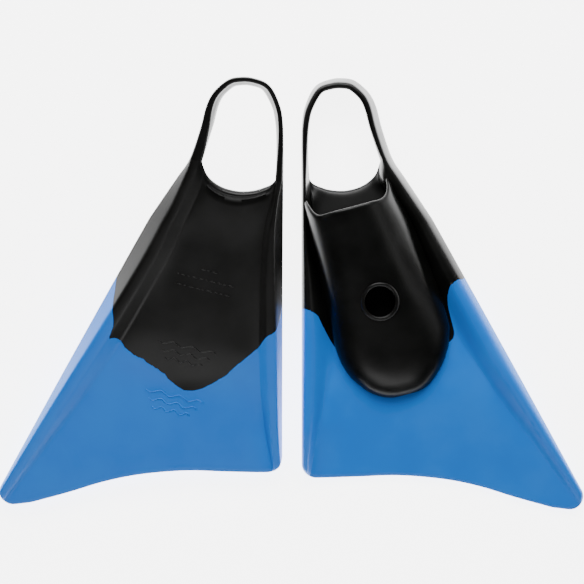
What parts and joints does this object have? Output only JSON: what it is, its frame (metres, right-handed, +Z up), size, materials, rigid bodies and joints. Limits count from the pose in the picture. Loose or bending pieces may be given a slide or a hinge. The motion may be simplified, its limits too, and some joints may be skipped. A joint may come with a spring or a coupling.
{
  "type": "pair of swim fins",
  "caption": "Short asymmetric swim fins with open heels, foot pockets with drain holes, and triangular blades with stiffening rails; one lies sole down, the other sole up.",
  "frame": {"origin": "on the surface the fins lie on, at the middle of the pair's plan", "axes": "+X across the pair towards the fin that lies sole down, +Y from the blades towards the heels, +Z up"},
  "size_m": [0.5228, 0.3874, 0.1057],
  "materials": {
    "soft_black": "smooth moulded rubber, low gloss",
    "hard_black": "smooth moulded rubber, satin",
    "blade_blue": "smooth moulded rubber, satin"
  },
  "bodies": {
    "right_fin": {"right_foot_pocket": "soft_black", "right_sole": "hard_black", "right_inner_shoulder": "hard_black", "right_outer_shoulder": "hard_black", "right_blade_root": "blade_blue"},
    "right_strap": {"right_heel_strap": "soft_black"},
    "right_blade": {"right_blade_web": "blade_blue", "right_inner_rail": "blade_blue", "right_outer_rail": "blade_blue"},
    "left_fin": {"left_foot_pocket": "soft_black", "left_sole": "hard_black", "left_inner_shoulder": "hard_black", "left_outer_shoulder": "hard_black", "left_blade_root": "blade_blue"},
    "left_strap": {"left_heel_strap": "soft_black"},
    "left_blade": {"left_blade_web": "blade_blue", "left_inner_rail": "blade_blue", "left_outer_rail": "blade_blue"}
  },
  "joints": [
    {"name": "left_fin_lift", "type": "slide", "parent": "right_fin", "child": "left_fin", "axis": [0, 0, 1], "range_m": [0, 0.15]},
    {"name": "right_strap_fold", "type": "hinge", "parent": "right_fin", "child": "right_strap", "pos_m": [0.05132, 0.11224, 0.029], "axis": [0.9681, 0.2504, 0], "range_deg": [0, 60], "stiffness_Nm_per_rad": 0.4},
    {"name": "right_blade_flex", "type": "hinge", "parent": "right_fin", "child": "right_blade", "pos_m": [0.1059, -0.09881, 0.025], "axis": [-0.9681, -0.2504, 0], "range_deg": [0, 25], "stiffness_Nm_per_rad": 8},
    {"name": "left_strap_fold", "type": "hinge", "parent": "left_fin", "child": "left_strap", "pos_m": [-0.05003, 0.10707, 0.08634], "axis": [0.9666, -0.2377, -0.0963], "range_deg": [0, 60], "stiffness_Nm_per_rad": 0.4},
    {"name": "left_blade_flex", "type": "hinge", "parent": "left_fin", "child": "left_blade", "pos_m": [-0.10549, -0.09703, 0.0335], "axis": [-0.9666, 0.2377, 0.0963], "range_deg": [0, 25], "stiffness_Nm_per_rad": 8}
  ]
}
